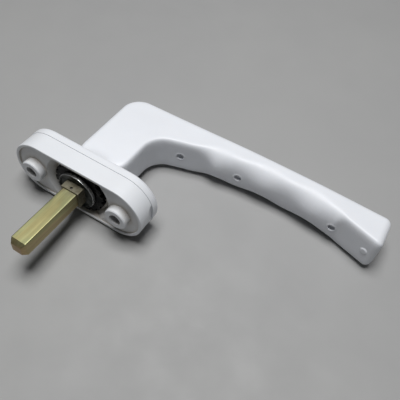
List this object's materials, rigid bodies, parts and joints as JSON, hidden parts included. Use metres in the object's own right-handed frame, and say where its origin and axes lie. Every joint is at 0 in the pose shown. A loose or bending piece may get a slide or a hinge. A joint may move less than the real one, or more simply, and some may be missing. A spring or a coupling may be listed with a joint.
{
  "type": "tilt turn window handle",
  "caption": "L-shaped lever with finger grooves on a stadium rosette; square spindle, two locating pegs with screw holes, click stops each quarter turn.",
  "frame": {"origin": "centre of the rosette's mounting face, on the spindle axis", "axes": "+Y out of the mounting face into the room, the spindle along -Y, +X along the grip in the closed position, +Z across the rosette's narrow side"},
  "size_m": [0.1493, 0.0913, 0.027],
  "materials": {
    "white_plastic": "satin moulded white, faintly bluish",
    "lever_plastic": "satin moulded white, slightly scuffed",
    "black_plastic": "greased black moulding",
    "bush_plastic": "natural bearing plastic",
    "bearing_steel": "polished",
    "spring_steel": "oiled",
    "detent_steel": "greased",
    "dark_zinc": "dark greenish chromate, greasy",
    "yellow_zinc": "yellow iridescent zinc chromate",
    "pin_steel": "dark oiled steel",
    "cast_core": "dull die cast"
  },
  "bodies": {
    "rosette": {"rosette_base": "white_plastic", "detent_cage": "black_plastic", "neck_bush": "bush_plastic", "detent_spring_left": "spring_steel", "detent_spring_right": "spring_steel"},
    "cover": {"rosette_cover": "white_plastic"},
    "lever": {"lever_skin": "lever_plastic", "lever_core": "cast_core", "detent_ring": "detent_steel", "wave_washer": "spring_steel", "retaining_washer": "dark_zinc", "spindle": "yellow_zinc", "spindle_pin": "pin_steel"},
    "ball_left": {"detent_ball_left": "bearing_steel"},
    "ball_right": {"detent_ball_right": "bearing_steel"}
  },
  "joints": [
    {"name": "lever_turn", "type": "hinge", "parent": "rosette", "child": "lever", "pos_m": [0, 0, 0], "axis": [0, -1, 0], "range_deg": [0, 180]},
    {"name": "cover_turn", "type": "hinge", "parent": "rosette", "child": "cover", "pos_m": [0, 0, 0], "axis": [0, -1, 0], "range_deg": [0, 90]},
    {"name": "ball_left_click", "type": "slide", "parent": "rosette", "child": "ball_left", "axis": [0, 1, 0], "range_m": [-0.0003, 0.0003], "stiffness_N_per_m": 500, "springref_m": 0.001, "deforming": ["detent_spring_left"]},
    {"name": "ball_right_click", "type": "slide", "parent": "rosette", "child": "ball_right", "axis": [0, 1, 0], "range_m": [-0.0003, 0.0003], "stiffness_N_per_m": 500, "springref_m": 0.001, "deforming": ["detent_spring_right"]}
  ]
}
